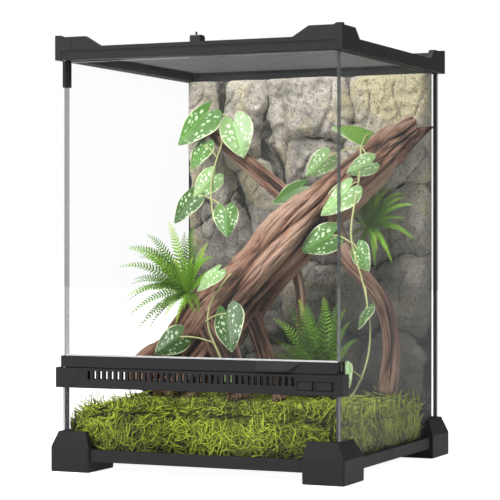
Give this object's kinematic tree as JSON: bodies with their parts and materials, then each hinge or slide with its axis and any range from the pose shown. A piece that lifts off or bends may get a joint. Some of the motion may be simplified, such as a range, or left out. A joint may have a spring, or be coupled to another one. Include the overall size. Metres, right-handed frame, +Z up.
{
  "type": "reptile terrarium",
  "caption": "Front-opening glass reptile terrarium with black frames, a hinged glass door, a vent rail with lock keys, a mesh lid, a rock wall, moss, driftwood and artificial plants.",
  "frame": {"origin": "centre of the footprint, on the surface it stands on", "axes": "+X to the keeper's right, +Y from the front door to the back, +Z up"},
  "size_m": [0.3186, 0.3186, 0.4415],
  "materials": {
    "black_plastic": "satin",
    "glass": "polished",
    "silicone": "satin",
    "clear_gasket": "satin",
    "black_rubber": "matte",
    "steel": "brushed",
    "mesh_metal": "matte",
    "rock": "rough",
    "moss": "rough",
    "driftwood": "rough",
    "fern": "satin",
    "vine": "satin"
  },
  "bodies": {
    "tank": {"base_frame": "black_plastic", "front_left_foot": "black_plastic", "front_right_foot": "black_plastic", "rear_left_foot": "black_plastic", "rear_right_foot": "black_plastic", "bottom_glass": "glass", "left_glass": "glass", "right_glass": "glass", "back_glass": "glass", "front_glass": "glass", "silicone_seams": "silicone", "vent_rail": "black_plastic", "vent_rail_cover": "black_plastic", "top_frame": "black_plastic", "lid_latch_housing": "black_plastic", "driftwood": "driftwood", "rock_background": "rock", "moss_bed": "moss", "fern_left": "fern", "fern_upper_right": "fern", "fern_lower_right": "fern", "vine_left": "vine", "vine_middle": "vine", "vine_right": "vine"},
    "door": {"door_glass": "glass", "door_rail": "black_plastic", "door_gasket": "clear_gasket", "hinge_clip": "black_plastic", "upper_hinge_pin": "steel", "lower_hinge_pin": "steel"},
    "left_key": {"left_lock_key": "black_plastic"},
    "right_key": {"right_lock_key": "black_plastic"},
    "left_bolt": {"left_lock_bolt": "black_plastic"},
    "right_bolt": {"right_lock_bolt": "black_plastic"},
    "lid": {"lid_frame": "black_plastic", "lid_mesh": "mesh_metal", "lid_spline": "black_rubber"},
    "latch": {"lid_latch_bolt": "black_plastic"}
  },
  "joints": [
    {"name": "door_hinge", "type": "hinge", "parent": "tank", "child": "door", "pos_m": [-0.1468, -0.1523, 0.26], "axis": [0, 0, -1], "range_deg": [0, 115]},
    {"name": "left_key_slide", "type": "slide", "parent": "tank", "child": "left_key", "axis": [1, 0, 0], "range_m": [0, 0.0026]},
    {"name": "right_key_slide", "type": "slide", "parent": "tank", "child": "right_key", "axis": [1, 0, 0], "range_m": [0, 0.0026]},
    {"name": "left_bolt_lift", "type": "slide", "parent": "tank", "child": "left_bolt", "axis": [0, 0, 1], "range_m": [0, 0.0026]},
    {"name": "right_bolt_lift", "type": "slide", "parent": "tank", "child": "right_bolt", "axis": [0, 0, 1], "range_m": [0, 0.0026]},
    {"name": "lid_lift", "type": "slide", "parent": "tank", "child": "lid", "axis": [0, 0, 1], "range_m": [0, 0.06]},
    {"name": "latch_slide", "type": "slide", "parent": "tank", "child": "latch", "axis": [0, 1, 0], "range_m": [0, 0.006]}
  ],
  "couplings": [
    {"joint": "left_bolt_lift", "follows": "left_key_slide", "ratio": 1},
    {"joint": "right_bolt_lift", "follows": "right_key_slide", "ratio": 1}
  ]
}
